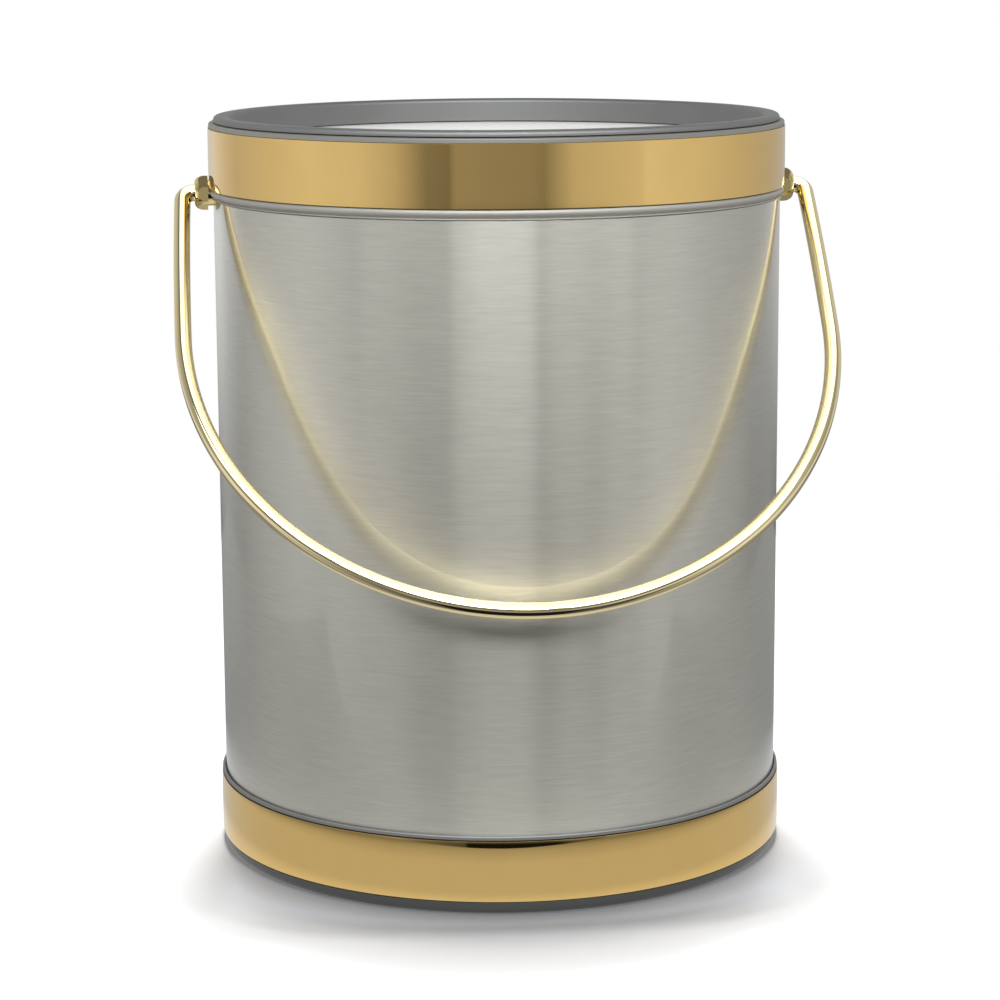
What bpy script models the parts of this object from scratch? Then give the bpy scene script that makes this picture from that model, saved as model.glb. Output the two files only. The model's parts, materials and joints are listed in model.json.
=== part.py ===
"""Insulated ice bucket: white liner in a brushed double wall, two gilt bands and a swinging bail."""

from math import asin, cos, pi, radians, sin, sqrt, tau

import bmesh
import bpy
from mathutils import Matrix

for old in list(bpy.data.objects):
    bpy.data.objects.remove(old, do_unlink=True)

# Driving sizes, in metres
BODY_RADIUS = 0.0935         # outside of the brushed wrap
BODY_HEIGHT = 0.1925         # wrap that shows between the base lip and the bead
WRAP_THICKNESS = 0.0006
TUBE_THICKNESS = 0.0016
FIT = 0.0003                 # gap left between pieces that touch

BAND_PROUD = 0.0015          # both gilt bands stand out from the wrap by this much
BAND_HEIGHT = 0.0196
BAND_THICKNESS = 0.0006
SEAM_GAP = 0.0004            # slit at the back of the wrap and the bands

LIP_HEIGHT = 0.0013          # thin lip beside each band
LIP_SETBACK = 0.0003         # lip behind the face of the band
LIP_ROUND = 0.0005
BEAD_HEIGHT = 0.0030         # rounded bead under the top band
SPIGOT_THICKNESS = 0.0017    # skirt of each collar inside the tube
SPIGOT_DEPTH = 0.0100

RING_HEIGHT = 0.0019         # raised ring above the lip
RING_SETBACK = 0.0016        # ring behind the edge of the lip
RING_ROUND = 0.0013
RING_WIDTH = 0.0051          # from the outside of the ring to the mouth
SKIRT_THICKNESS = 0.0016
SKIRT_DEPTH = 0.0079         # from the crest of the ring to the foot of the skirt
SEAT_LEDGE_THICKNESS = 0.0030

FOOT_HEIGHT = 0.0040
FOOT_INSET = 0.0020          # how far the foot draws in at the floor
FOOT_ROUND_HEIGHT = 0.0027
PLATE_THICKNESS = 0.0024
PLATE_LEDGE_THICKNESS = 0.0020
PLATE_LEDGE_WIDTH = 0.0050

FOAM_THICKNESS = 0.0064      # foam sleeve at the mouth
FOAM_DISC_THICKNESS = 0.0207
LINER_WALL = 0.0020
LINER_TAPER = 0.0030         # the liner is narrower by this radius at its floor
LINER_SHOULDER = 0.0060
LINER_FLOOR_ROUND = 0.0100

ROD_RADIUS = 0.0027
BEND_RADIUS = 0.0038         # bend at the top of each leg
LEG_FLARE = 0.0011           # each leg leans out by this much
LEG_LENGTH = 0.0570          # from the pivot to the start of the bow
BOW_DEPTH = 0.1020
PIN_LENGTH = 0.0090          # straight end of the rod inside its post
BAIL_STANDOFF = 0.0081       # clear space between the hanging bail and the wrap

PIVOT_DROP = 0.0015          # pivot below the lower edge of the top band
POST_LENGTH = 0.0043         # head of the post, outside the band
POST_RIM = 0.0012            # straight part of the head before its dome
POST_WALL = 0.0012           # tube of the shank around the rod
POST_SHOULDER = 0.0009       # flats of the head outside the shank
POST_DOME = 0.0022           # how far the dome draws in
WASHER_RADIUS = 0.0070
WASHER_THICKNESS = 0.0010
NUT_THICKNESS = 0.0022
NUT_WALL = 0.0013
CORNER_TRIM = 0.0003         # turned off the corners of the hexagons
SHANK_END = 0.0004           # thread showing past the nut

# Straight steps that stand for curves
SIDES = 48                   # around every ring of the bucket
HOLE_SIDES = 24              # around the posts, washers, nuts and holes
ROUND_STEPS = 4
DOME_STEPS = 5
BEND_STEPS = 5
LEG_STEPS = 6
BOW_STEPS = 22               # from a leg to the middle of the bow

# Radii that follow
band_radius = BODY_RADIUS + BAND_PROUD
band_inner = band_radius - BAND_THICKNESS
seat_radius = band_inner - FIT
lip_radius = band_radius - LIP_SETBACK
wrap_inner = BODY_RADIUS - WRAP_THICKNESS
tube_outer = wrap_inner - FIT
tube_inner = tube_outer - TUBE_THICKNESS
spigot_outer = tube_inner - FIT
spigot_inner = spigot_outer - SPIGOT_THICKNESS
inside_radius = spigot_inner - FIT
ring_outer = lip_radius - RING_SETBACK
mouth_radius = ring_outer - RING_WIDTH
skirt_outer = mouth_radius + SKIRT_THICKNESS
collar_mouth = skirt_outer + FIT
liner_outer = inside_radius - FOAM_THICKNESS - FIT
liner_inner = liner_outer - LINER_WALL
shoulder_radius = liner_inner + LINER_SHOULDER
floor_radius = liner_inner - LINER_TAPER
ledge_inner = shoulder_radius + FIT
plate_ledge_inner = spigot_inner - PLATE_LEDGE_WIDTH

# Heights that follow, from the floor up
base_band_low = FOOT_HEIGHT + FIT
base_band_high = base_band_low + BAND_HEIGHT
base_lip_low = base_band_high + FIT
base_lip_top = base_lip_low + LIP_HEIGHT
bead_low = base_lip_top + BODY_HEIGHT
bead_high = bead_low + BEAD_HEIGHT
top_band_low = bead_high + FIT
top_band_high = top_band_low + BAND_HEIGHT
top_lip_low = top_band_high + FIT
top_lip_top = top_lip_low + LIP_HEIGHT
ring_low = top_lip_top + FIT
crest = ring_low + RING_HEIGHT
skirt_low = crest - SKIRT_DEPTH
flange_top = skirt_low - FIT
flange_low = flange_top - LINER_WALL
ledge_top = flange_low - FIT
ledge_low = ledge_top - SEAT_LEDGE_THICKNESS
plate_ledge_low = PLATE_THICKNESS + FIT
plate_ledge_top = plate_ledge_low + PLATE_LEDGE_THICKNESS
foam_disc_low = plate_ledge_top + FIT
foam_disc_top = foam_disc_low + FOAM_DISC_THICKNESS
liner_low = foam_disc_top + FIT
liner_floor = liner_low + LINER_WALL
base_spigot_top = base_lip_low + SPIGOT_DEPTH
top_spigot_low = bead_low - SPIGOT_DEPTH
pivot_height = top_band_low - PIVOT_DROP

# Bail and posts, measured along the pivot axis
bore_radius = ROD_RADIUS + FIT
shank_radius = bore_radius + POST_WALL
hole_radius = shank_radius + FIT
head_flat = shank_radius + POST_SHOULDER
post_base = band_radius + FIT
post_face = post_base + POST_LENGTH
bend_start = post_face + FIT
leg_top = bend_start + BEND_RADIUS
bail_half_width = leg_top + LEG_FLARE
bail_drop = LEG_LENGTH + BOW_DEPTH
hang_angle = asin((BODY_RADIUS + BAIL_STANDOFF + ROD_RADIUS) / bail_drop)
facet_share = cos(pi / SIDES)
washer_face = sqrt((spigot_inner * facet_share) ** 2 - WASHER_RADIUS ** 2) - FIT
nut_face = washer_face - WASHER_THICKNESS - FIT
shank_end = nut_face - NUT_THICKNESS - SHANK_END


def finish(name, colour, roughness, metallic):
    """A plain material of one colour."""
    material = bpy.data.materials.new(name)
    material.use_nodes = True
    shader = material.node_tree.nodes["Principled BSDF"]
    shader.inputs["Base Color"].default_value = (*colour, 1.0)
    shader.inputs["Roughness"].default_value = roughness
    shader.inputs["Metallic"].default_value = metallic
    return material


def add(name, bm, material):
    """A mesh object made from a closed bmesh."""
    bmesh.ops.recalc_face_normals(bm, faces=bm.faces)
    mesh = bpy.data.meshes.new(name)
    bm.to_mesh(mesh)
    bm.free()
    mesh.shade_smooth()
    mesh.set_sharp_from_angle(angle=radians(35))
    mesh.materials.append(material)
    piece = bpy.data.objects.new(name, mesh)
    bpy.context.scene.collection.objects.link(piece)
    return piece


def quarter(centre, radius_r, radius_z, start, end, steps=ROUND_STEPS):
    """Points (r, z) on an elliptical arc, angles in degrees from +r towards +z."""
    points = []
    for step in range(steps + 1):
        angle = radians(start + (end - start) * step / steps)
        points.append((centre[0] + radius_r * cos(angle), centre[1] + radius_z * sin(angle)))
    return points


def spun(outline, sides):
    """A closed bmesh turned around Z from an outline of (r, z) points."""
    bm = bmesh.new()
    verts = [bm.verts.new((r, 0.0, z)) for r, z in outline]
    edges = [bm.edges.new(pair) for pair in zip(verts, verts[1:] + verts[:1])]
    bmesh.ops.spin(bm, geom=verts + edges, cent=(0, 0, 0), axis=(0, 0, 1), angle=tau, steps=sides,
                   use_merge=True)
    bmesh.ops.remove_doubles(bm, verts=bm.verts, dist=1e-6)
    on_axis = [edge for edge in bm.edges if not edge.link_faces]
    bmesh.ops.delete(bm, geom=on_axis, context="EDGES")
    return bm


def turned(name, outline, material):
    """A ring, disc or tub turned around the bucket's own axis."""
    return add(name, spun(outline, SIDES), material)


def guide(piece):
    """A cutting shape: it stays in the file and isn't a piece of the bucket."""
    piece.hide_render = True
    piece.display_type = "WIRE"
    return piece


def boolean(piece, tool, operation):
    step = piece.modifiers.new(tool.name, "BOOLEAN")
    step.operation = operation
    step.solver = "EXACT"
    step.object = tool


def cross_bar(name, radius, sides, turn=0.0):
    """A straight prism along the pivot axis, from post to post, used for cutting."""
    lay = Matrix.Rotation(pi / 2, 4, "Y") @ Matrix.Rotation(turn, 4, "Z")
    bm = bmesh.new()
    bmesh.ops.create_cone(bm, cap_ends=True, segments=sides, radius1=radius, radius2=radius,
                          depth=2 * bail_half_width, matrix=lay)
    piece = guide(add(name, bm, plain_finish))
    piece.location.z = pivot_height
    return piece


plain_finish = finish("guide", (0.5, 0.5, 0.5), 0.5, 0.0)
white_plastic = finish("white_plastic", (0.82, 0.82, 0.80), 0.35, 0.0)
grey_plastic = finish("grey_plastic", (0.20, 0.21, 0.21), 0.38, 0.0)
dark_plastic = finish("dark_plastic", (0.10, 0.105, 0.10), 0.42, 0.0)
gilt = finish("gilt", (0.78, 0.56, 0.26), 0.14, 1.0)
brushed_laminate = finish("brushed_laminate", (0.56, 0.55, 0.52), 0.38, 1.0)
board = finish("board", (0.46, 0.38, 0.28), 0.85, 0.0)
foam = finish("foam", (0.86, 0.85, 0.80), 0.95, 0.0)
brass = finish("brass", (0.83, 0.66, 0.36), 0.16, 1.0)
zinc = finish("zinc", (0.60, 0.60, 0.58), 0.40, 1.0)

# Cutting shapes: the cross hole for both posts, and the slit at the back
cross_hole = cross_bar("cross_hole", hole_radius, HOLE_SIDES)

seam_mesh = bmesh.new()
bmesh.ops.create_cube(seam_mesh, size=1.0)
seam_slit = guide(add("seam_slit", seam_mesh, plain_finish))
seam_slit.scale = (SEAM_GAP, band_radius, 2 * crest)
seam_slit.location.y = band_radius

# Base: collar with foot and band seat, closing plate, lower band
base_outline = [(spigot_inner, 0.0)]
base_outline += quarter((lip_radius - FOOT_INSET, FOOT_ROUND_HEIGHT), FOOT_INSET, FOOT_ROUND_HEIGHT, -90, 0)
base_outline += [(lip_radius, FOOT_HEIGHT), (seat_radius, FOOT_HEIGHT)]
base_outline += [(seat_radius, base_lip_low), (lip_radius, base_lip_low)]
base_outline += quarter((lip_radius - LIP_ROUND, base_lip_top - LIP_ROUND), LIP_ROUND, LIP_ROUND, 0, 90, 2)
base_outline += [(BODY_RADIUS + FIT, base_lip_top), (BODY_RADIUS + FIT, base_lip_low)]
base_outline += [(spigot_outer, base_lip_low), (spigot_outer, base_spigot_top)]
base_outline += [(spigot_inner, base_spigot_top), (spigot_inner, plate_ledge_top)]
base_outline += [(plate_ledge_inner, plate_ledge_top), (plate_ledge_inner, plate_ledge_low)]
base_outline += [(spigot_inner, plate_ledge_low)]
turned("base_collar", base_outline, dark_plastic)

plate_outline = [(0.0, 0.0), (inside_radius, 0.0), (inside_radius, PLATE_THICKNESS), (0.0, PLATE_THICKNESS)]
turned("base_plate", plate_outline, dark_plastic)


def band(name, low, high):
    """A gilt strip rolled into its seat, with its joint at the back."""
    outline = [(band_inner, low), (band_radius, low), (band_radius, high), (band_inner, high)]
    piece = turned(name, outline, gilt)
    boolean(piece, seam_slit, "DIFFERENCE")
    return piece


band("bottom_band", base_band_low, base_band_high)
top_band = band("top_band", top_band_low, top_band_high)
boolean(top_band, cross_hole, "DIFFERENCE")

# Outer wall: stiff tube with the brushed sheet rolled around it
wall_low = base_lip_low + FIT
wall_high = bead_low - FIT


def wall(name, inner, outer, material):
    outline = [(inner, wall_low), (outer, wall_low), (outer, wall_high), (inner, wall_high)]
    piece = turned(name, outline, material)
    boolean(piece, cross_hole, "DIFFERENCE")
    return piece


wall("body_tube", tube_inner, tube_outer, board)
body_wrap = wall("body_wrap", wrap_inner, BODY_RADIUS, brushed_laminate)
boolean(body_wrap, seam_slit, "DIFFERENCE")

# Insulation under and around the liner
disc_outline = [(0.0, foam_disc_low), (inside_radius, foam_disc_low)]
disc_outline += [(inside_radius, foam_disc_top), (0.0, foam_disc_top)]
turned("foam_disc", disc_outline, foam)

liner_bend_low = liner_floor + LINER_FLOOR_ROUND
liner_bend_high = flange_top - LINER_SHOULDER


def liner_back(z):
    """Radius of the liner's tapered back at a height."""
    share = (z - liner_bend_low) / (liner_bend_high - liner_bend_low)
    return floor_radius + LINER_WALL + LINER_TAPER * share


sleeve_outline = [(liner_back(liner_low) + FIT, liner_low), (inside_radius, liner_low)]
sleeve_outline += [(inside_radius, top_spigot_low), (liner_back(top_spigot_low) + FIT, top_spigot_low)]
turned("foam_sleeve", sleeve_outline, foam)

# White liner: tapered tub with a rounded floor, a flared shoulder and a clamped flange
floor_centre = (floor_radius - LINER_FLOOR_ROUND, liner_bend_low)
floor_back = LINER_FLOOR_ROUND + LINER_WALL
shoulder_centre = (shoulder_radius, liner_bend_high)
shoulder_back = LINER_SHOULDER - LINER_WALL
liner_outline = [(0.0, liner_low)]
liner_outline += quarter(floor_centre, floor_back, floor_back, -90, 0)
liner_outline += quarter(shoulder_centre, shoulder_back, shoulder_back, 180, 90, 3)
liner_outline += [(skirt_outer, flange_low), (skirt_outer, flange_top)]
liner_outline += quarter(shoulder_centre, LINER_SHOULDER, LINER_SHOULDER, 90, 180, 5)
liner_outline += quarter(floor_centre, LINER_FLOOR_ROUND, LINER_FLOOR_ROUND, 0, -90)
liner_outline += [(0.0, liner_floor)]
turned("inner_liner", liner_outline, white_plastic)

# Top collar: lip, band seat, rounded bead, spigot in the tube and a ledge that carries the liner
collar_outline = [(collar_mouth, top_lip_top)]
collar_outline += quarter((lip_radius - LIP_ROUND, top_lip_top - LIP_ROUND), LIP_ROUND, LIP_ROUND, 90, 0, 2)
collar_outline += [(lip_radius, top_lip_low), (seat_radius, top_lip_low), (seat_radius, bead_high)]
collar_outline += quarter((BODY_RADIUS, bead_high), lip_radius - BODY_RADIUS, BEAD_HEIGHT, 0, -90)
collar_outline += [(spigot_outer, bead_low), (spigot_outer, top_spigot_low)]
collar_outline += [(spigot_inner, top_spigot_low), (spigot_inner, ledge_low)]
collar_outline += [(ledge_inner, ledge_low), (ledge_inner, ledge_top), (collar_mouth, ledge_top)]
boolean(turned("top_collar", collar_outline, grey_plastic), cross_hole, "DIFFERENCE")

# Rim ring: rounded ring on the collar, with a skirt that holds the liner's flange down
ring_outline = [(mouth_radius, skirt_low), (skirt_outer, skirt_low), (skirt_outer, ring_low)]
ring_outline += [(ring_outer, ring_low)]
ring_outline += quarter((ring_outer - RING_ROUND, crest - RING_ROUND), RING_ROUND, RING_ROUND, 0, 90, 3)
ring_outline += quarter((mouth_radius + RING_ROUND, crest - RING_ROUND), RING_ROUND, RING_ROUND, 90, 180, 3)
turned("rim_ring", ring_outline, grey_plastic)

# Posts, washers and nuts on both sides; each is turned along its own axis and laid along X
head_corner = head_flat / cos(pi / 6)
head_stock = cross_bar("head_stock", head_corner, 6, pi / 6)


def fastener(name, outline, side, material):
    """A piece turned around the pivot axis; side is 1 on the right and -1 on the left."""
    piece = add(name, spun(outline, HOLE_SIDES), material)
    piece.location.z = pivot_height
    piece.rotation_euler.y = side * pi / 2
    return piece


post_outline = [(bore_radius, shank_end), (shank_radius, shank_end), (shank_radius, post_base)]
head_radius = head_corner - CORNER_TRIM
post_outline += [(head_radius, post_base)]
post_outline += quarter((head_radius - POST_DOME, post_base + POST_RIM), POST_DOME, POST_LENGTH - POST_RIM,
                        0, 90, DOME_STEPS)
post_outline += [(bore_radius, post_face)]

washer_back = washer_face - WASHER_THICKNESS
washer_outline = [(hole_radius, washer_back), (WASHER_RADIUS, washer_back)]
washer_outline += [(WASHER_RADIUS, washer_face), (hole_radius, washer_face)]

nut_corner = (hole_radius + NUT_WALL) / cos(pi / 6)
nut_stock = cross_bar("nut_stock", nut_corner, 6, pi / 6)
nut_radius = nut_corner - CORNER_TRIM
nut_back = nut_face - NUT_THICKNESS
nut_outline = [(hole_radius, nut_back), (nut_radius, nut_back)]
nut_outline += [(nut_radius, nut_face), (hole_radius, nut_face)]

for word, side in (("left", -1), ("right", 1)):
    boolean(fastener(word + "_post", post_outline, side, brass), head_stock, "INTERSECT")
    fastener(word + "_washer", washer_outline, side, zinc)
    boolean(fastener(word + "_nut", nut_outline, side, zinc), nut_stock, "INTERSECT")

# Bail: one rod from pin to pin, drawn hanging straight down from the pivot axis
half_path = [(bend_start - PIN_LENGTH, 0.0)]
half_path += quarter((bend_start, -BEND_RADIUS), BEND_RADIUS, BEND_RADIUS, 90, 0, BEND_STEPS)
for step in range(1, LEG_STEPS):
    share = step / LEG_STEPS
    drop = BEND_RADIUS + (LEG_LENGTH - BEND_RADIUS) * share
    half_path.append((bail_half_width - LEG_FLARE * (1 - share) ** 2, -drop))
half_path += quarter((0.0, -LEG_LENGTH), bail_half_width, BOW_DEPTH, 0, -90, BOW_STEPS)
path = half_path + [(-x, z) for x, z in reversed(half_path[:-1])]

bail_curve = bpy.data.curves.new("bail_handle", "CURVE")
bail_curve.dimensions = "3D"
bail_curve.bevel_depth = ROD_RADIUS
bail_curve.bevel_resolution = 4
bail_curve.use_fill_caps = True
rod = bail_curve.splines.new("POLY")
rod.points.add(len(path) - 1)
for point, (x, z) in zip(rod.points, path):
    point.co = (x, 0.0, z, 1.0)
rod.use_smooth = True
bail_curve.materials.append(brass)
bail = bpy.data.objects.new("bail_handle", bail_curve)
bpy.context.scene.collection.objects.link(bail)
bail.location.z = pivot_height
bail.rotation_euler.x = -hang_angle
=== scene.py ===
"""Looks of the ice bucket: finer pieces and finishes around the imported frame, on a white table."""
import json
from math import asin, cos, pi, radians, sin, tan, tau

import bmesh
import bpy
from mathutils import Matrix, Vector


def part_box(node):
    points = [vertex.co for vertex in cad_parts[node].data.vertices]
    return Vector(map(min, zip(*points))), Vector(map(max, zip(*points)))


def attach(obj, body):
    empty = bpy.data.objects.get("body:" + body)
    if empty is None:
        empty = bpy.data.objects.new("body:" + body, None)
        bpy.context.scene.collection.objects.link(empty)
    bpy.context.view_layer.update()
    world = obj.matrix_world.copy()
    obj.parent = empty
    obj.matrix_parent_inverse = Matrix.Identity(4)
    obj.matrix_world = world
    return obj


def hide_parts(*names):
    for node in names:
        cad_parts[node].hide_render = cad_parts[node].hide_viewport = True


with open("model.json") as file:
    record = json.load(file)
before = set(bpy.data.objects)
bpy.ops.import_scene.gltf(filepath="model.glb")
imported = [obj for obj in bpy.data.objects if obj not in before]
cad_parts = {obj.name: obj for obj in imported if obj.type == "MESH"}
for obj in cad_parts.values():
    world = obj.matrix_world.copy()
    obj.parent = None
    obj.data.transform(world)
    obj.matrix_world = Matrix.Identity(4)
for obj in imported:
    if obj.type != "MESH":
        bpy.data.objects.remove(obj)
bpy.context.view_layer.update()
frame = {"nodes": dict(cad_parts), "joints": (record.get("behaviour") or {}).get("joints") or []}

# Base collar: the dark grey foot that the bucket stands on. One plastic moulding with a rounded foot, a
# seat for the lower band and a spigot that the body tube is pushed over. The thin lip above the band is a
# paler grey trim that lies on it.
SIDES = 240
GAP = 0.0003
ON_AXIS = 1e-6
EASED_EDGE = 0.00016
EASED_STEPS = 3
SOFT_TURN = radians(28)
LONGEST_CUT = 0.45
CREASE = radians(40)
FLAT_FACE_WEIGHT = 60


def arc(centre, reach, start, end, steps):
    """Points (radius, height) on part of an ellipse, angles in degrees from outward to upward."""
    points = []
    for step in range(steps + 1):
        angle = radians(start + (end - start) * step / steps)
        points.append((centre[0] + reach[0] * cos(angle), centre[1] + reach[1] * sin(angle)))
    return points


def eased(outline, radius=EASED_EDGE):
    """The same closed outline with every sharp corner rounded, as the mould or the die leaves it."""
    points = []
    for index, corner in enumerate(outline):
        here = Vector(corner)
        back = Vector(outline[index - 1]) - here
        ahead = Vector(outline[(index + 1) % len(outline)]) - here
        turn = pi - back.angle(ahead)
        if here.x < ON_AXIS or turn < SOFT_TURN:
            points.append(corner)
            continue
        cut = min(radius * tan(turn / 2), LONGEST_CUT * back.length, LONGEST_CUT * ahead.length)
        first = here + back.normalized() * cut
        last = here + ahead.normalized() * cut
        for step in range(EASED_STEPS + 1):
            share = step / EASED_STEPS
            point = first * (1 - share) ** 2 + here * 2 * share * (1 - share) + last * share ** 2
            points.append((point.x, point.y))
    return points


def turned(outline, slit=0.0):
    """A closed bmesh turned around the bucket's axis; slit is the angle left open at the back."""
    bm = bmesh.new()
    closed = slit == 0.0
    rings = []
    for step in range(SIDES if closed else SIDES + 1):
        angle = pi / 2 + slit / 2 + (tau - slit) * step / SIDES
        ring = []
        for index, (radius, height) in enumerate(outline):
            if radius < ON_AXIS and rings:
                ring.append(rings[0][index])
            else:
                ring.append(bm.verts.new((radius * cos(angle), radius * sin(angle), height)))
        rings.append(ring)
    for index in range(len(rings) if closed else len(rings) - 1):
        near = rings[index]
        far = rings[(index + 1) % len(rings)]
        for point in range(len(outline)):
            after = (point + 1) % len(outline)
            corners = dict.fromkeys((near[point], far[point], far[after], near[after]))
            if len(corners) > 2:
                bm.faces.new(list(corners))
    if not closed:
        bm.faces.new(rings[0])
        bm.faces.new(rings[-1])
    return bm


def placed(name, bm):
    """An object made from a bmesh and put into the scene."""
    mesh = bpy.data.meshes.new(name)
    bm.to_mesh(mesh)
    bm.free()
    item = bpy.data.objects.new(name, mesh)
    bpy.context.scene.collection.objects.link(item)
    return item


def shaped(name, bm, material, body, slot, *nodes):
    """A finished piece: smooth faces, crisp edges, riding on its body in place of the CAD nodes."""
    bmesh.ops.recalc_face_normals(bm, faces=bm.faces)
    piece = placed(name, bm)
    piece.data.shade_smooth()
    piece.data.set_sharp_from_angle(angle=CREASE)
    piece.data.materials.append(material)
    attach(piece, body)
    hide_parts(*nodes)
    return piece


def flat_faces_lead(piece):
    """Large faces set the shading, so that the eased edges stay narrow."""
    lead = piece.modifiers.new("flat_faces_lead", "WEIGHTED_NORMAL")
    lead.keep_sharp = True
    lead.weight = FLAT_FACE_WEIGHT
    return piece


def add_node(tree, kind, inputs=None, **settings):
    """A node with its settings, and its inputs set to plain values or linked to other sockets."""
    made = tree.nodes.new(kind)
    for name, value in settings.items():
        setattr(made, name, value)
    for name, value in (inputs or {}).items():
        if isinstance(value, bpy.types.NodeSocket):
            tree.links.new(value, made.inputs[name])
        else:
            made.inputs[name].default_value = value
    return made


def worked_out(tree, operation, *numbers):
    """One number worked out from others."""
    return add_node(tree, "ShaderNodeMath", dict(enumerate(numbers)), operation=operation).outputs[0]


def two_tone(tree, share, first, last):
    """Two colours blended by a share that changes over the surface."""
    tones = {"Factor": share, "A": first, "B": last}
    return add_node(tree, "ShaderNodeMix", tones, data_type="RGBA").outputs["Result"]


def start_effect(name, takes, gives):
    """An empty node group with plain number inputs and outputs."""
    tree = bpy.data.node_groups.new(name, "ShaderNodeTree")
    for label, value in takes.items():
        socket = tree.interface.new_socket(label, in_out="INPUT", socket_type="NodeSocketFloat")
        socket.default_value = value
    for label in gives:
        tree.interface.new_socket(label, in_out="OUTPUT", socket_type="NodeSocketFloat")
    return tree, tree.nodes.new("NodeGroupInput"), tree.nodes.new("NodeGroupOutput")


def start_finish(name):
    """A new material with its shader, and its node tree to build on."""
    material = bpy.data.materials.new(name)
    material.use_nodes = True
    tree = material.node_tree
    return material, tree, tree.nodes["Principled BSDF"]


SKIN_CLOUD_GAIN = 4.0
SKIN_DEPTH = 0.0002
moulded_skin, takes, gives = start_effect(
    "moulded_skin", {"Grain": 2500.0, "Roughness": 0.4, "Spread": 0.02}, ("Roughness", "Height", "Cloud"))
place = add_node(moulded_skin, "ShaderNodeTexCoord").outputs["Object"]
grain = add_node(moulded_skin, "ShaderNodeTexNoise",
                 {"Vector": place, "Scale": takes.outputs["Grain"], "Detail": 2.0})
cloud = add_node(moulded_skin, "ShaderNodeTexNoise", {"Vector": place, "Scale": 45.0, "Detail": 4.0})
centred = worked_out(moulded_skin, "SUBTRACT", cloud.outputs["Fac"], 0.5)
spread = worked_out(moulded_skin, "MULTIPLY", takes.outputs["Spread"], SKIN_CLOUD_GAIN)
rough = worked_out(moulded_skin, "MULTIPLY_ADD", centred, spread, takes.outputs["Roughness"])
moulded_skin.links.new(rough, gives.inputs["Roughness"])
moulded_skin.links.new(grain.outputs["Fac"], gives.inputs["Height"])
moulded_skin.links.new(cloud.outputs["Fac"], gives.inputs["Cloud"])


def moulded_plastic(name, darker, lighter, roughness, relief, flake=0.0):
    """Moulded plastic with a fine skin from the mould, faint clouds in its colour and some metal flake."""
    material, tree, shader = start_finish(name)
    skin = add_node(tree, "ShaderNodeGroup", node_tree=moulded_skin)
    skin.inputs["Roughness"].default_value = roughness
    colour = two_tone(tree, skin.outputs["Cloud"], (*darker, 1.0), (*lighter, 1.0))
    bump = add_node(tree, "ShaderNodeBump",
                    {"Strength": relief, "Distance": SKIN_DEPTH, "Height": skin.outputs["Height"]})
    tree.links.new(colour, shader.inputs["Base Color"])
    tree.links.new(skin.outputs["Roughness"], shader.inputs["Roughness"])
    tree.links.new(bump.outputs["Normal"], shader.inputs["Normal"])
    shader.inputs["Metallic"].default_value = flake
    return material


dark_plastic = moulded_plastic(
    "dark_plastic", darker=(0.045, 0.048, 0.044), lighter=(0.058, 0.061, 0.056), roughness=0.32,
    relief=0.06)
grey_plastic = moulded_plastic(
    "grey_plastic", darker=(0.28, 0.287, 0.283), lighter=(0.32, 0.327, 0.323), roughness=0.58,
    relief=0.03, flake=0.92)

sheet_thick = 0.0006
foot_inset = 0.0020
foot_round = 0.0027
lip_round = 0.0005
base_lip_thick = 0.0013
base_lip_tuck = 0.0001
spigot_outer = 0.0907
spigot_inner = 0.0890
plate_ledge_wide = 0.0050
plate_ledge_thick = 0.0020
foot_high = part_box("base_collar")[1]
band_low, band_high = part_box("bottom_band")
plate_low, plate_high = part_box("base_plate")
wrap_low, wrap_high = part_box("body_wrap")
lip_radius = foot_high.x
wrap_radius = wrap_high.x
seat_radius = band_high.x - sheet_thick - GAP
seat_low = band_low.z - GAP
base_lip_low = band_high.z + GAP
base_lip_top = base_lip_low + base_lip_thick
plate_ledge_low = plate_high.z + GAP
plate_ledge_top = plate_ledge_low + plate_ledge_thick
plate_ledge_inner = spigot_inner - plate_ledge_wide
foot_outline = [(spigot_inner, 0.0)]
foot_outline += arc((lip_radius - foot_inset, foot_round), (foot_inset, foot_round), -90, 0, 10)
foot_outline += [(lip_radius, seat_low), (seat_radius, seat_low)]
foot_outline += [(seat_radius, base_lip_low), (spigot_outer, base_lip_low)]
foot_outline += [(spigot_outer, foot_high.z), (spigot_inner, foot_high.z)]
foot_outline += [(spigot_inner, plate_ledge_top), (plate_ledge_inner, plate_ledge_top)]
foot_outline += [(plate_ledge_inner, plate_ledge_low), (spigot_inner, plate_ledge_low)]
base_foot = shaped("base_foot", turned(eased(foot_outline)), dark_plastic,
                   "bucket", "dark_plastic", "base_collar")
flat_faces_lead(base_foot)

trim_inner = wrap_radius + GAP
trim_outline = [(trim_inner, base_lip_low), (lip_radius - base_lip_tuck, base_lip_low)]
trim_outline += arc((lip_radius - lip_round, base_lip_top - lip_round), (lip_round, lip_round), 0, 90, 6)
trim_outline += [(trim_inner, base_lip_top)]
base_lip = shaped("base_lip", turned(eased(trim_outline)), grey_plastic,
                  "bucket", "grey_plastic", "base_collar")
flat_faces_lead(base_lip)


# Base plate: the flat disc let into the underside. Moulded in the same dark plastic as the collar
# and pressed up against its inner ledge.
def slab(inner, outer, low, high):
    """The outline of a plain ring, or of a disc where the inner radius is 0."""
    return [(inner, low), (outer, low), (outer, high), (inner, high)]


plate_outline = slab(0.0, plate_high.x, plate_low.z, plate_high.z)
base_disc = shaped("base_disc", turned(eased(plate_outline)), dark_plastic,
                   "bucket", "dark_plastic", "base_plate")
flat_faces_lead(base_disc)

# Lower band: a polished gilt strip rolled around the base collar, its ends meeting at the back.
# Thin metal with softly rolled edges, pressed into its seat between the foot and the lip.
CROWN_STEPS = 22
EDGE_POWER = 9
SEAM_GAP = 0.0004
POLISH_CLOUD_GAIN = 3.0
RIPPLE_DEPTH = 0.001

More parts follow.
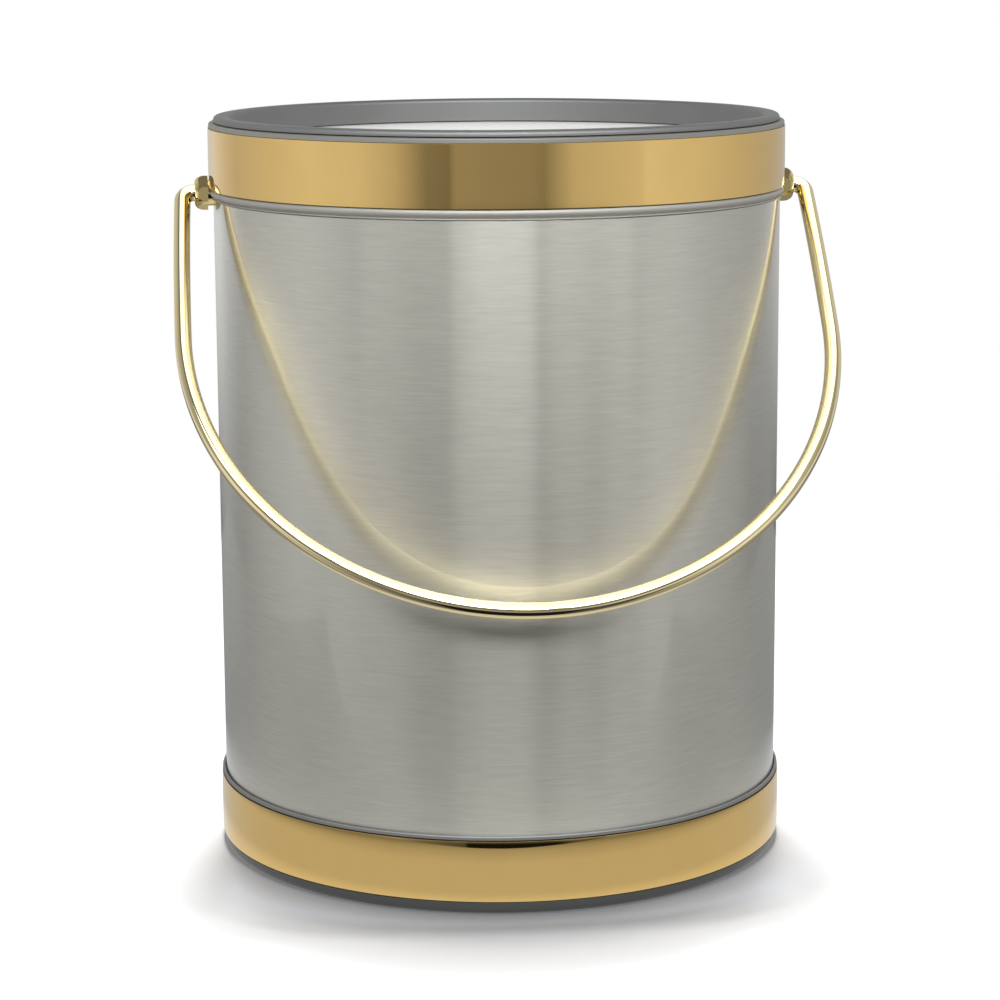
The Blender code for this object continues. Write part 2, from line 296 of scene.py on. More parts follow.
polish_marks, takes, gives = start_effect(
    "polish_marks", {"Roughness": 0.1, "Spread": 0.03, "Ripple": 40.0}, ("Roughness", "Height", "Cloud"))
place = add_node(polish_marks, "ShaderNodeTexCoord").outputs["Object"]
ripple = add_node(polish_marks, "ShaderNodeTexNoise",
                  {"Vector": place, "Scale": takes.outputs["Ripple"], "Detail": 1.5})
cloud = add_node(polish_marks, "ShaderNodeTexNoise",
                 {"Vector": place, "Scale": 70.0, "Detail": 5.0, "Roughness": 0.6})
along = add_node(polish_marks, "ShaderNodeMapping", {"Vector": place, "Scale": (90.0, 90.0, 4200.0)})
hairline = add_node(polish_marks, "ShaderNodeTexNoise",
                    {"Vector": along.outputs["Vector"], "Scale": 1.0, "Detail": 2.0})
both = worked_out(polish_marks, "ADD", cloud.outputs["Fac"], hairline.outputs["Fac"])
centred = worked_out(polish_marks, "SUBTRACT", both, 1.0)
spread = worked_out(polish_marks, "MULTIPLY", takes.outputs["Spread"], POLISH_CLOUD_GAIN)
rough = worked_out(polish_marks, "MULTIPLY_ADD", centred, spread, takes.outputs["Roughness"])
polish_marks.links.new(rough, gives.inputs["Roughness"])
polish_marks.links.new(ripple.outputs["Fac"], gives.inputs["Height"])
polish_marks.links.new(cloud.outputs["Fac"], gives.inputs["Cloud"])


def polished_metal(name, deeper, paler, roughness, spread, ripple, relief):
    """Polished metal with faint cloudiness, hairlines from the buff and a slight ripple."""
    material, tree, shader = start_finish(name)
    marks = add_node(tree, "ShaderNodeGroup", node_tree=polish_marks)
    marks.inputs["Roughness"].default_value = roughness
    marks.inputs["Spread"].default_value = spread
    marks.inputs["Ripple"].default_value = ripple
    colour = two_tone(tree, marks.outputs["Cloud"], (*deeper, 1.0), (*paler, 1.0))
    bump = add_node(tree, "ShaderNodeBump",
                    {"Strength": relief, "Distance": RIPPLE_DEPTH, "Height": marks.outputs["Height"]})
    tree.links.new(colour, shader.inputs["Base Color"])
    tree.links.new(marks.outputs["Roughness"], shader.inputs["Roughness"])
    tree.links.new(bump.outputs["Normal"], shader.inputs["Normal"])
    shader.inputs["Metallic"].default_value = 1.0
    return material


gilt = polished_metal(
    "gilt", deeper=(0.77, 0.527, 0.187), paler=(0.836, 0.582, 0.226), roughness=0.03, spread=0.008,
    ripple=38.0, relief=0.02)


def gilt_strip(name, node, crown, edge_roll):
    """A strip with a slightly crowned face and rolled edges, open by a hair at the back."""
    low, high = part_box(node)
    inner = high.x - sheet_thick
    outline = []
    for step in range(CROWN_STEPS + 1):
        across = -cos(pi * step / CROWN_STEPS)
        height = (low.z + high.z) / 2 + across * (high.z - low.z) / 2
        drop = crown * across ** 2 + edge_roll * abs(across) ** EDGE_POWER
        outline.append((high.x - drop, height))
    outline += [(inner, high.z), (inner, low.z)]
    return shaped(name, turned(eased(outline), SEAM_GAP / high.x), gilt, "bucket", "gilt", node)


lower_band = gilt_strip("lower_gilt_band", "bottom_band", crown=0.00010, edge_roll=0.00007)
flat_faces_lead(lower_band)

# Body tube: the stiff tube that carries the wall, pushed over the spigots of both collars.
# Wound brown board; it is hidden, and only its drilled holes let the posts through.
HOLE_SIDES = 48
BAR_LENGTH = 0.25
pivot = Vector(frame["joints"][0]["pos_m"])
hole_radius = 0.0045


def cut_by_bar(piece, operation, sides, reach, twist=0.0):
    """The piece cut by a long bar along the pivot axis, which takes its shape out or leaves only that."""
    bm = bmesh.new()
    lay = Matrix.Translation(pivot) @ Matrix.Rotation(pi / 2, 4, "Y") @ Matrix.Rotation(twist, 4, "Z")
    bmesh.ops.create_cone(bm, cap_ends=True, segments=sides, radius1=reach, radius2=reach,
                          depth=BAR_LENGTH, matrix=lay)
    bar = placed("bar", bm)
    cut = piece.modifiers.new("cut_by_bar", "BOOLEAN")
    cut.operation = operation
    cut.solver = "EXACT"
    cut.object = bar
    graph = bpy.context.evaluated_depsgraph_get()
    mesh = bpy.data.meshes.new_from_object(piece.evaluated_get(graph))
    piece.modifiers.clear()
    piece.data = mesh
    bpy.data.objects.remove(bar, do_unlink=True)
    return piece


def bored(piece):
    """The piece with the cross hole for both posts drilled along the pivot axis."""
    cut_by_bar(piece, "DIFFERENCE", HOLE_SIDES, hole_radius)
    piece.data.set_sharp_from_angle(angle=CREASE)
    return piece


board, tree, shader = start_finish("board")
place = add_node(tree, "ShaderNodeTexCoord").outputs["Object"]
wound = add_node(tree, "ShaderNodeMapping",
                 {"Vector": place, "Scale": (120.0, 120.0, 900.0), "Rotation": (0.5, 0.0, 0.0)})
fibre = add_node(tree, "ShaderNodeTexNoise",
                 {"Vector": wound.outputs["Vector"], "Scale": 1.0, "Detail": 6.0})
colour = two_tone(tree, fibre.outputs["Fac"], (0.36, 0.28, 0.19, 1.0), (0.55, 0.46, 0.34, 1.0))
bump = add_node(tree, "ShaderNodeBump",
                {"Strength": 0.3, "Distance": 0.0003, "Height": fibre.outputs["Fac"]})
tree.links.new(colour, shader.inputs["Base Color"])
tree.links.new(bump.outputs["Normal"], shader.inputs["Normal"])
shader.inputs["Roughness"].default_value = 0.88

tube_wall = 0.0016
tube_low, tube_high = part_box("body_tube")
tube_outline = slab(tube_high.x - tube_wall, tube_high.x, tube_low.z, tube_high.z)
tube = shaped("wound_tube", turned(eased(tube_outline)), board, "bucket", "board", "body_tube")
flat_faces_lead(bored(tube))

# Brushed wrap: the silver-grey sheet rolled around the tube, with its joint at the back.
# A brushed metal laminate: fine level brush lines under a thin clear film, glued to the board.
brushed, tree, shader = start_finish("brushed_laminate")
place = add_node(tree, "ShaderNodeTexCoord").outputs["Object"]
long_way = add_node(tree, "ShaderNodeMapping", {"Vector": place, "Scale": (70.0, 70.0, 1500.0)})
fine_way = add_node(tree, "ShaderNodeMapping", {"Vector": place, "Scale": (120.0, 120.0, 2300.0)})
long_lines = add_node(tree, "ShaderNodeTexNoise",
                      {"Vector": long_way.outputs["Vector"], "Scale": 1.0, "Detail": 2.0})
fine_lines = add_node(tree, "ShaderNodeTexNoise",
                      {"Vector": fine_way.outputs["Vector"], "Scale": 1.0, "Detail": 1.0})
lines = add_node(tree, "ShaderNodeMix",
                 {"Factor": 0.45, "A": long_lines.outputs["Fac"], "B": fine_lines.outputs["Fac"]})
contrast = add_node(tree, "ShaderNodeMapRange",
                    {"Value": lines.outputs["Result"], "From Min": 0.3, "From Max": 0.7})
colour = two_tone(tree, contrast.outputs["Result"], (0.632, 0.622, 0.554, 1.0), (0.724, 0.714, 0.636, 1.0))
gloss = add_node(tree, "ShaderNodeMapRange",
                 {"Value": lines.outputs["Result"], "From Min": 0.3, "From Max": 0.7,
                  "To Min": 0.274, "To Max": 0.291})
around = add_node(tree, "ShaderNodeTangent", direction_type="RADIAL", axis="Z")
tree.links.new(colour, shader.inputs["Base Color"])
tree.links.new(gloss.outputs["Result"], shader.inputs["Roughness"])
tree.links.new(around.outputs["Tangent"], shader.inputs["Tangent"])
shader.inputs["Metallic"].default_value = 1.0
shader.inputs["Anisotropic"].default_value = 1.0
shader.inputs["Anisotropic Rotation"].default_value = 0.25
shader.inputs["Coat Weight"].default_value = 1.0
shader.inputs["Coat Roughness"].default_value = 0.05

wrap_outline = slab(wrap_radius - sheet_thick, wrap_radius, wrap_low.z, wrap_high.z)
wrap = shaped("brushed_wrap", turned(eased(wrap_outline), SEAM_GAP / wrap_radius), brushed,
              "bucket", "brushed_laminate", "body_wrap")
flat_faces_lead(bored(wrap))

# Insulation: a disc under the liner and a sleeve around it, which keep the ice cold.
# Off-white expanded foam, cut to fit and hidden between the liner and the tube.
foam, tree, shader = start_finish("foam")
place = add_node(tree, "ShaderNodeTexCoord").outputs["Object"]
beads = add_node(tree, "ShaderNodeTexVoronoi", {"Vector": place, "Scale": 420.0})
colour = two_tone(tree, beads.outputs["Distance"], (0.88, 0.87, 0.82, 1.0), (0.74, 0.73, 0.67, 1.0))
bump = add_node(tree, "ShaderNodeBump",
                {"Strength": 0.5, "Distance": 0.0008, "Height": beads.outputs["Distance"]})
tree.links.new(colour, shader.inputs["Base Color"])
tree.links.new(bump.outputs["Normal"], shader.inputs["Normal"])
shader.inputs["Roughness"].default_value = 0.9

disc_low, disc_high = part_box("foam_disc")
disc_outline = slab(0.0, disc_high.x, disc_low.z, disc_high.z)
foam_disc = shaped("foam_under_liner", turned(eased(disc_outline)), foam, "bucket", "foam", "foam_disc")
flat_faces_lead(foam_disc)

liner_wall = 0.0020
liner_taper = 0.0030
floor_round = 0.0100
shoulder_round = 0.0060
mouth_inner = 0.0800
liner_low, liner_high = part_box("inner_liner")
floor_radius = mouth_inner - liner_taper
bend_low = liner_low.z + liner_wall + floor_round
bend_high = liner_high.z - shoulder_round


def liner_back(height):
    """Radius of the tapered back of the liner."""
    share = (height - bend_low) / (bend_high - bend_low)
    return floor_radius + liner_wall + liner_taper * share


sleeve_low, sleeve_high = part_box("foam_sleeve")
sleeve_outline = [(liner_back(sleeve_low.z) + GAP, sleeve_low.z), (sleeve_high.x, sleeve_low.z)]
sleeve_outline += [(sleeve_high.x, sleeve_high.z), (liner_back(sleeve_high.z) + GAP, sleeve_high.z)]
sleeve = shaped("foam_around_liner", turned(eased(sleeve_outline)), foam, "bucket", "foam", "foam_sleeve")
flat_faces_lead(sleeve)

# Liner: the white tub that holds the ice, seen inside the mouth. A tapered plastic moulding with a
# rounded floor and a flared shoulder, its flange clamped between the collar's ledge and the ring.
white_plastic = moulded_plastic(
    "white_plastic", darker=(0.80, 0.80, 0.78), lighter=(0.85, 0.85, 0.83), roughness=0.32, relief=0.05)
floor_centre = (floor_radius - floor_round, bend_low)
shoulder_centre = (mouth_inner + shoulder_round, bend_high)
floor_back = floor_round + liner_wall
shoulder_back = shoulder_round - liner_wall
liner_outline = [(0.0, liner_low.z)]
liner_outline += arc(floor_centre, (floor_back, floor_back), -90, 0, 14)
liner_outline += arc(shoulder_centre, (shoulder_back, shoulder_back), 180, 90, 8)
liner_outline += [(liner_high.x, liner_high.z - liner_wall), (liner_high.x, liner_high.z)]
liner_outline += arc(shoulder_centre, (shoulder_round, shoulder_round), 90, 180, 12)
liner_outline += arc(floor_centre, (floor_round, floor_round), 0, -90, 14)
liner_outline += [(0.0, liner_low.z + liner_wall)]
liner = shaped("white_liner", turned(eased(liner_outline)), white_plastic,
               "bucket", "white_plastic", "inner_liner")
flat_faces_lead(liner)

# Top collar: the grey moulding that closes the wall, with the seat of the upper band, a spigot inside the
# tube and a ledge that carries the liner. A thin lip above the band and a double bead over the edge of the
# wrap are silvery trim on it.
seat_ledge_thick = 0.0030
collar_low, collar_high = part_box("top_collar")
upper_low, upper_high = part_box("top_band")
bead_high = upper_low.z - GAP
bead_low = wrap_high.z + GAP
top_lip_low = upper_high.z + GAP
top_lip_top = collar_high.z
skirt_outer = liner_high.x
collar_mouth = skirt_outer + GAP
seat_ledge_top = liner_high.z - liner_wall - GAP
seat_ledge_low = seat_ledge_top - seat_ledge_thick
seat_ledge_inner = mouth_inner + shoulder_round + GAP
collar_outline = [(collar_mouth, top_lip_low), (seat_radius, top_lip_low), (seat_radius, bead_high)]
collar_outline += [(spigot_outer, bead_high), (spigot_outer, collar_low.z), (spigot_inner, collar_low.z)]
collar_outline += [(spigot_inner, seat_ledge_low), (seat_ledge_inner, seat_ledge_low)]
collar_outline += [(seat_ledge_inner, seat_ledge_top), (collar_mouth, seat_ledge_top)]
collar = shaped("upper_collar", turned(eased(collar_outline)), grey_plastic,
                "bucket", "grey_plastic", "top_collar")
flat_faces_lead(bored(collar))

silver_plastic = moulded_plastic(
    "silver_plastic", darker=(0.48, 0.47, 0.435), lighter=(0.535, 0.525, 0.485), roughness=0.64,
    relief=0.03, flake=0.85)
hair = 0.0001
tuck = 0.0002
big_bead = (0.0008, 0.0012)
big_bead_drop = 0.0010
small_bead = (0.0006, 0.0003)
small_bead_inset = 0.0012
bead_inner = spigot_outer + hair
bead_outline = [(bead_inner, bead_high), (seat_radius - tuck, bead_high + tuck)]
bead_outline += arc((lip_radius - big_bead[0], bead_high - big_bead_drop), big_bead, 80, -55, 12)
bead_outline += arc((lip_radius - small_bead_inset, bead_low + hair), small_bead, 75, -75, 8)
bead_outline += [(wrap_radius + hair, bead_low - tuck), (wrap_radius + hair, bead_low)]
bead_outline += [(bead_inner, bead_low)]
bead = shaped("collar_bead", turned(bead_outline), silver_plastic, "bucket", "grey_plastic", "top_collar")
flat_faces_lead(bored(bead))

crisp_edge = 0.00006
top_lip_edge = upper_high.z + hair
top_lip_outline = [(collar_mouth, top_lip_low), (seat_radius + hair, top_lip_low)]
top_lip_outline += [(seat_radius + hair, top_lip_edge), (lip_radius, top_lip_edge)]
top_lip_outline += arc((lip_radius - lip_round, top_lip_top - lip_round), (lip_round, lip_round), 0, 90, 6)
top_lip_outline += [(collar_mouth, top_lip_top)]
top_lip = shaped("collar_lip", turned(eased(top_lip_outline, crisp_edge)), silver_plastic,
                 "bucket", "grey_plastic", "top_collar")
flat_faces_lead(top_lip)

# Rim ring: the raised, rounded ring around the mouth. A grey moulding whose inner skirt drops into the
# collar and holds the flange of the liner down.
ring_round = 0.0013
skirt_wall = 0.0016
ring_low, ring_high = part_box("rim_ring")
mouth_radius = skirt_outer - skirt_wall
ring_seat = top_lip_top + GAP
ring_crest = ring_high.z - ring_round
ring_outline = [(mouth_radius, ring_low.z), (skirt_outer, ring_low.z)]
ring_outline += [(skirt_outer, ring_seat), (ring_high.x, ring_seat)]
ring_outline += arc((ring_high.x - ring_round, ring_crest), (ring_round, ring_round), 0, 90, 10)
ring_outline += arc((mouth_radius + ring_round, ring_crest), (ring_round, ring_round), 90, 180, 10)
ring = shaped("mouth_ring", turned(eased(ring_outline)), grey_plastic, "bucket", "grey_plastic", "rim_ring")
flat_faces_lead(ring)

# Upper band: the gilt strip around the collar, the same as the lower one but flatter.
# The holes of the posts cut into its lower edge on both sides.
upper_band = gilt_strip("upper_gilt_band", "top_band", crown=0.00004, edge_roll=0.00001)
flat_faces_lead(bored(upper_band))

# Posts, washers and nuts: the bail turns in two hexagonal brass posts with domed faces. Each is turned
# from hexagon bar, goes through the wall and is held inside by a zinc-plated washer and nut, which keep
# their CAD shapes.
DOME_STEPS = 12
BAR_SIDES = 6
FACET_CREASE = radians(24)
post_brass = polished_metal(
    "post_brass", deeper=(0.88, 0.69, 0.29), paler=(0.94, 0.77, 0.37), roughness=0.06, spread=0.015,
    ripple=160.0, relief=0.01)
zinc = polished_metal(
    "zinc", deeper=(0.55, 0.55, 0.54), paler=(0.64, 0.64, 0.62), roughness=0.36, spread=0.08,
    ripple=90.0, relief=0.02)
post_rim = 0.0012
post_dome = 0.0022
shank_radius = 0.0042
bore_radius = 0.0030
corner_trim = 0.0003
post_base = upper_high.x + GAP


def turned_across(outline, side):
    """A bmesh turned around the pivot axis, measured outward from the bucket's axis."""
    bm = turned(outline)
    lay = Matrix.Translation(pivot) @ Matrix.Rotation(side * pi / 2, 4, "Y")
    bmesh.ops.transform(bm, matrix=lay, verts=bm.verts)
    return bm


posts = []
for word, side in (("left", -1), ("right", 1)):
    post_low, post_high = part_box(word + "_post")
    reach = (-post_low.x, post_high.x)[side > 0]
    shank_end = (-post_high.x, post_low.x)[side > 0]
    flat_reach = post_high.y
    corner_reach = flat_reach / cos(pi / BAR_SIDES)
    head_radius = corner_reach - corner_trim
    dome_reach = (post_dome, reach - post_base - post_rim)
    post_outline = [(bore_radius, shank_end), (shank_radius, shank_end), (shank_radius, post_base)]
    post_outline += [(head_radius, post_base)]
    post_outline += arc((head_radius - post_dome, post_base + post_rim), dome_reach, 0, 90, DOME_STEPS)
    post_outline += [(bore_radius, reach)]
    post = shaped(word + "_brass_post", turned_across(post_outline, side), post_brass,
                  "bucket", "brass", word + "_post")
    cut_by_bar(post, "INTERSECT", BAR_SIDES, corner_reach, pi / BAR_SIDES)
    post.data.set_sharp_from_angle(angle=FACET_CREASE)
    posts.append(flat_faces_lead(post))
    for fixing in ("_washer", "_nut"):
        node = frame["nodes"][word + fixing]
        node.data.materials.clear()
        node.data.materials.append(zinc)

# Bail: the swinging handle, one round rod bent to a wide bow with its ends turned into the posts.
# Brass-plated steel, polished, bent cold at the top of each leg.
ROD_SIDES = 40
LEG_STEPS = 20
brass = polished_metal(
    "brass", deeper=(0.94, 0.80, 0.46), paler=(0.98, 0.86, 0.54), roughness=0.06, spread=0.015,
    ripple=160.0, relief=0.01)
rod_radius = 0.0027
bend_radius = 0.0038
leg_flare = 0.0011
leg_length = 0.0570
bow_depth = 0.1020
pin_length = 0.0090
stand_off = 0.0081
bend_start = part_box("right_post")[1].x + GAP
half_width = bend_start + bend_radius + leg_flare
hang = asin((wrap_radius + stand_off + rod_radius) / (leg_length + bow_depth))
half_path = [(bend_start - pin_length, 0.0)]
half_path += arc((bend_start, -bend_radius), (bend_radius, bend_radius), 90, 0, 14)
for step in range(1, LEG_STEPS):
    share = step / LEG_STEPS
    drop = bend_radius + (leg_length - bend_radius) * share
    half_path.append((half_width - leg_flare * (1 - share) ** 2, -drop))
half_path += arc((0.0, -leg_length), (half_width, bow_depth), 0, -90, 70)
path = half_path + [(-x, z) for x, z in reversed(half_path[:-1])]

bm = bmesh.new()
rings = []
for index, (x, z) in enumerate(path):
    before = Vector(path[max(index - 1, 0)])
    after = Vector(path[min(index + 1, len(path) - 1)])
    run = (after - before).normalized()
    side_way = Vector((run.y, 0.0, -run.x))
    round_points = []
    for turn in range(ROD_SIDES):
        angle = tau * turn / ROD_SIDES
        offset = side_way * cos(angle) * rod_radius + Vector((0.0, sin(angle) * rod_radius, 0.0))
        round_points.append(bm.verts.new(Vector((x, 0.0, z)) + offset))
    rings.append(round_points)
for near, far in zip(rings, rings[1:]):
    for turn in range(ROD_SIDES):
        after = (turn + 1) % ROD_SIDES
        bm.faces.new((near[turn], near[after], far[after], far[turn]))
bm.faces.new(rings[0])
bm.faces.new(list(reversed(rings[-1])))
lay = Matrix.Translation(pivot) @ Matrix.Rotation(-hang, 4, "X")
bmesh.ops.transform(bm, matrix=lay, verts=bm.verts)
shaped("bail_rod", bm, brass, "bail", "brass", "bail_handle")

# Table: a white board that ends a little in front of the bucket and lies square to the camera. It keeps
# the bucket's shadow, with a painted blue-grey shade in its colour close under the front of the foot, and
# polished metal sees it as a painted pool of light, a glow that dims towards the edge.
TABLE_FRONT = -0.180
TABLE_SIDE = 0.45
TABLE_BACK = 0.50
CAMERA_LIFT = 0.10
view_turn = radians(6.5)
to_view = Matrix.Rotation(-view_turn, 3, "Z")
bm = bmesh.new()
corners = [(-TABLE_SIDE, TABLE_FRONT), (TABLE_SIDE, TABLE_FRONT)]
corners += [(TABLE_SIDE, TABLE_BACK), (-TABLE_SIDE, TABLE_BACK)]
bm.faces.new([bm.verts.new((x, y, 0.0)) for x, y in corners])
bmesh.ops.rotate(bm, verts=bm.verts, cent=(0, 0, 0), matrix=to_view)
table = placed("table", bm)


def soft_step(tree, value, first, last):
    """A soft step from 0 where the value is first to 1 where it is last."""
    step = add_node(tree, "ShaderNodeMapRange", {"Value": value, "From Min": first, "From Max": last},
                    interpolation_type="SMOOTHSTEP")
    return step.outputs["Result"]


def grey_levels(tree, value, levels):
    """Grey levels along a value from 0 to 1, given as (value, level)."""
    ramp = add_node(tree, "ShaderNodeValToRGB", {"Fac": value})
    marks = ramp.color_ramp.elements
    marks.remove(marks[-1])
    for index, (at, level) in enumerate(levels):
        mark = marks[0] if index == 0 else marks.new(at)
        mark.position = at
        mark.color = (level, level, level, 1.0)
    return ramp.outputs["Color"]


white_top, tree, shader = start_finish("white_top")
place = add_node(tree, "ShaderNodeTexCoord").outputs["Object"]
away = add_node(tree, "ShaderNodeVectorMath", {0: place}, operation="LENGTH").outputs["Value"]
ahead = add_node(tree, "ShaderNodeSeparateXYZ", {"Vector": place}).outputs["Y"]
# Painted shade: close under the front of the foot, in the bucket's shadow, the top's colour turns
# blue-grey.
by_foot = soft_step(tree, away, 0.128, 0.10)
in_front = soft_step(tree, ahead, -0.02, -0.10)
painted_shade_share = worked_out(tree, "MULTIPLY", by_foot, in_front)
colour = two_tone(tree, painted_shade_share, (0.82, 0.82, 0.82, 1.0), (0.75, 0.80, 0.90, 1.0))
rays = add_node(tree, "ShaderNodeLightPath").outputs
lift = worked_out(tree, "MULTIPLY", rays["Is Camera Ray"], CAMERA_LIFT)
tree.links.new(colour, shader.inputs["Base Color"])
tree.links.new(lift, shader.inputs["Emission Strength"])
shader.inputs["Emission Color"].default_value = (1.0, 1.0, 1.0, 1.0)
shader.inputs["Roughness"].default_value = 0.7
shader.inputs["Specular IOR Level"].default_value = 0.2
# Painted pool of light: to metal the top is a glow, brightest close round the foot and dimmer towards the
# edge.
painted_light_pool = grey_levels(tree, away, [(0.103, 0.80), (0.114, 0.62), (0.150, 0.62), (0.195, 0.27)])
painted_glow = add_node(tree, "ShaderNodeEmission", {"Color": painted_light_pool})
in_metal = worked_out(tree, "MAXIMUM", rays["Is Glossy Ray"], rays["Is Transmission Ray"])
either = add_node(tree, "ShaderNodeMixShader",
                  {"Fac": in_metal, 1: shader.outputs["BSDF"], 2: painted_glow.outputs["Emission"]})
tree.links.new(either.outputs["Shader"], tree.nodes["Material Output"].inputs["Surface"])
table.data.materials.append(white_top)

# Studio: a dark room in front of the table, with white cards standing around it in three rows, one above
# another. It lights the bucket and shows in its metal, while the camera sees plain white behind the table.
ABOVE_CARDS = (0.18, 0.18, 0.18, 1.0)
WHITE = (1.0, 1.0, 1.0, 1.0)
studio = bpy.data.worlds.new("studio")
bpy.context.scene.world = studio
studio.use_nodes = True
tree = studio.node_tree
tree.nodes.clear()
direction = add_node(tree, "ShaderNodeTexCoord").outputs["Generated"]
facing = add_node(tree, "ShaderNodeVectorRotate", {"Vector": direction, "Angle": view_turn},
                  rotation_type="Z_AXIS")
parts = add_node(tree, "ShaderNodeSeparateXYZ", {"Vector": facing.outputs["Vector"]}).outputs
towards = worked_out(tree, "MULTIPLY", parts["Y"], -1.0)
bearing = worked_out(tree, "ARCTAN2", parts["X"], towards)
round_share = add_node(tree, "ShaderNodeMapRange", {"Value": bearing, "From Min": -pi, "From Max": pi})


def cards(levels):
    """Brightness around the set by bearing in degrees, 0 towards the camera and positive to its right."""
    by_share = [((degrees + 180) / 360, level) for degrees, level in levels]
    return grey_levels(tree, round_share.outputs["Result"], by_share)


level_cards = cards([
    (-180, 0.53), (-150, 0.81), (-124, 0.62), (-78, 0.83), (-55, 0.77), (-40, 0.60), (-27, 0.265),
    (-17.5, 0.23), (-16.5, 0.363), (14, 0.319), (18, 0.283), (30, 0.628), (58, 0.761), (60, 0.841),
    (85, 0.761), (110, 0.64), (135, 0.55), (180, 0.50)])
high_cards = cards([
    (-110, 0.575), (-92, 0.40), (-60, 0.32), (-40, 0.20), (40, 0.20), (58, 0.52), (72, 0.46), (92, 0.28),
    (110, 0.575)])
low_cards = cards([
    (-130, 0.13), (-103, 0.53), (-88, 0.80), (-72, 0.80), (-52, 0.40), (-32, 0.18), (-14, 0.09),
    (-13, 0.01), (23, 0.01), (30, 0.09), (40, 0.06), (60, 0.45), (72, 0.80), (85, 0.75), (100, 0.44),
    (125, 0.11)])
card_tops = cards([(-70, 0.77), (-50, 0.45), (50, 0.45), (70, 0.77)])

height = parts["Z"]
over_cards = worked_out(tree, "SUBTRACT", height, card_tops)
low_and_level = two_tone(tree, soft_step(tree, height, -0.09, -0.21), level_cards, low_cards)
with_high = two_tone(tree, soft_step(tree, height, 0.09, 0.15), low_and_level, high_cards)
with_gap = two_tone(tree, soft_step(tree, over_cards, -0.03, 0.03), with_high, ABOVE_CARDS)
rays = add_node(tree, "ShaderNodeLightPath").outputs
seen = two_tone(tree, rays["Is Camera Ray"], with_gap, WHITE)
glow = add_node(tree, "ShaderNodeBackground", {"Color": seen})
add_node(tree, "ShaderNodeOutputWorld", {"Surface": glow.outputs["Background"]})


# Lamps: a soft box overhead and three in front light the wall and the bail, each kept off the pieces that
# it would wash out. One narrow lamp reaches the floor of the liner, and three distant lights, above and a
# little behind, light the table alone, so that the bucket's shadow falls forward.
def lamp_list(name, state, *pieces):
    """The pieces that a lamp alone lights, where state is INCLUDE, or leaves out, where it is EXCLUDE."""
    listed = bpy.data.collections.new(name)
    for piece in pieces:
        listed.objects.link(piece)
    for entry in listed.collection_objects:
        entry.light_linking.link_state = state
    return listed


def new_lamp(name, kind, lit):
    """A lamp in the scene with the list of pieces that it lights or leaves out."""
    light = bpy.data.lights.new(name, kind)
    lamp = bpy.data.objects.new(name, light)
    bpy.context.scene.collection.objects.link(lamp)
    lamp.light_linking.receiver_collection = lit
    return lamp


def soft_box(name, lit, level, wide, deep, place, target, fade=None):
    """A soft box at a place and aimed at a target, both as the camera sees right, far and up.

    fade gives the shares of its width, from its left, at which it is dark and full.
    """
    lamp = new_lamp(name, "AREA", lit)
    lamp.location = to_view @ Vector(place)
    lamp.rotation_euler = (to_view @ (Vector(target) - Vector(place))).to_track_quat("-Z", "Y").to_euler()
    light = lamp.data
    light.shape = "RECTANGLE"
    light.size = wide
    light.size_y = deep
    light.energy = 4 * wide * deep * level
    if fade:
        light.use_nodes = True
        tree = light.node_tree
        across = add_node(tree, "ShaderNodeNewGeometry").outputs["Parametric"]
        share = add_node(tree, "ShaderNodeSeparateXYZ", {"Vector": across}).outputs["X"]
        strength = add_node(tree, "ShaderNodeMapRange",
                            {"Value": share, "From Min": fade[0], "From Max": fade[1]})
        tree.links.new(strength.outputs["Result"], tree.nodes["Emission"].inputs["Strength"])


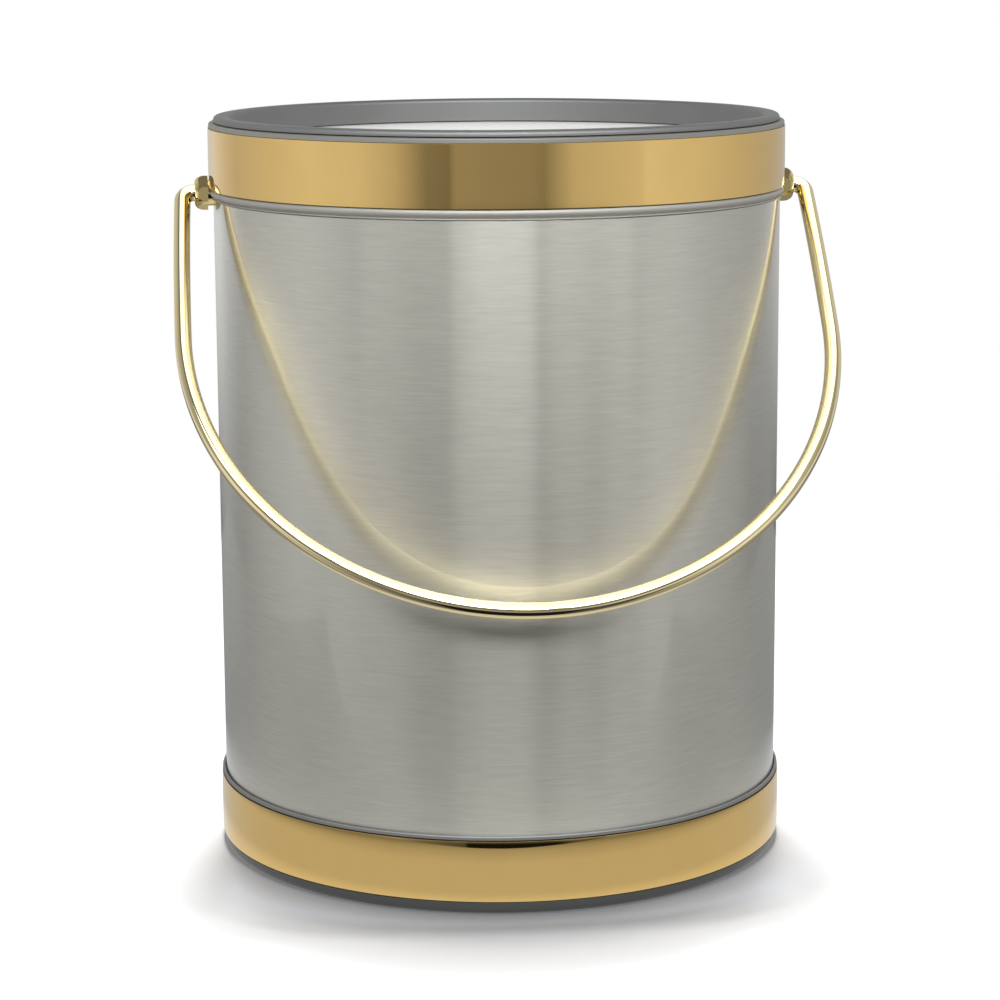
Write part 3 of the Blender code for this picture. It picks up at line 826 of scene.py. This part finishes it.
FRONT_DEEP = 0.312
wall_middle = (0.0, 0.0, 0.28)
off_rim = lamp_list("off_rim", "EXCLUDE", table, liner, ring, collar, top_lip, *posts)
off_gilt = lamp_list("off_gilt", "EXCLUDE", table, lower_band, upper_band, *posts)
off_lip = lamp_list("off_lip", "EXCLUDE", table, lower_band, upper_band, top_lip, *posts)
soft_box("overhead", off_rim, level=1.3, wide=0.74, deep=0.91,
         place=(0.08, -0.015, 0.62), target=(0.08, -0.0151, 0.0))
soft_box("front", off_gilt, level=7.2, wide=0.525, deep=FRONT_DEEP,
         place=(-0.0275, -0.80, 0.718), target=(-0.0275, 0.0, 0.28), fade=(-0.41, 0.35))
soft_box("front_right", off_lip, level=5.4, wide=0.597, deep=FRONT_DEEP,
         place=(0.496, -0.652, 0.718), target=wall_middle, fade=(1.55, 0.0))
soft_box("front_left", off_lip, level=3.9, wide=0.545, deep=FRONT_DEEP,
         place=(-0.511, -0.641, 0.718), target=wall_middle, fade=(-0.8, 1.0))

only_liner = lamp_list("only_liner", "INCLUDE", liner)
floor_lamp = new_lamp("liner_floor_light", "SPOT", only_liner)
floor_lamp.location = (0.0, 0.0, 0.95)
floor_lamp.data.energy = 16.0
floor_lamp.data.spot_size = radians(10)
floor_lamp.data.spot_blend = 0.7
floor_lamp.data.shadow_soft_size = 0.03

only_table = lamp_list("only_table", "INCLUDE", table)
for tilt in (4, 9.5, 15.5):
    table_lamp = new_lamp("table_light", "SUN", only_table)
    table_lamp.rotation_euler = (-radians(tilt), 0.0, -view_turn)
    table_lamp.data.energy = 1.2
    table_lamp.data.angle = radians(8)

# Camera: a long lens a little above the rim, standing slightly to the left of the bucket's front.
# Its place, tilt and slight roll are fitted to the view of the photograph.
camera_distance = 0.98704
camera_height = 0.3013
camera_pitch = 0.18685
camera_yaw = 0.00055
camera_roll = -0.00547
lens = bpy.data.cameras.new("camera")
lens.sensor_width = 36.0
lens.lens = 107.01
camera = bpy.data.objects.new("camera", lens)
bpy.context.scene.collection.objects.link(camera)
camera.location = (-camera_distance * sin(view_turn), -camera_distance * cos(view_turn), camera_height)
aim = Matrix.Rotation(-view_turn - camera_yaw, 4, "Z") @ Matrix.Rotation(pi / 2 - camera_pitch, 4, "X")
camera.rotation_euler = (aim @ Matrix.Rotation(camera_roll, 4, "Z")).to_euler()
bpy.context.scene.camera = camera
bpy.context.scene.view_settings.view_transform = "Standard"
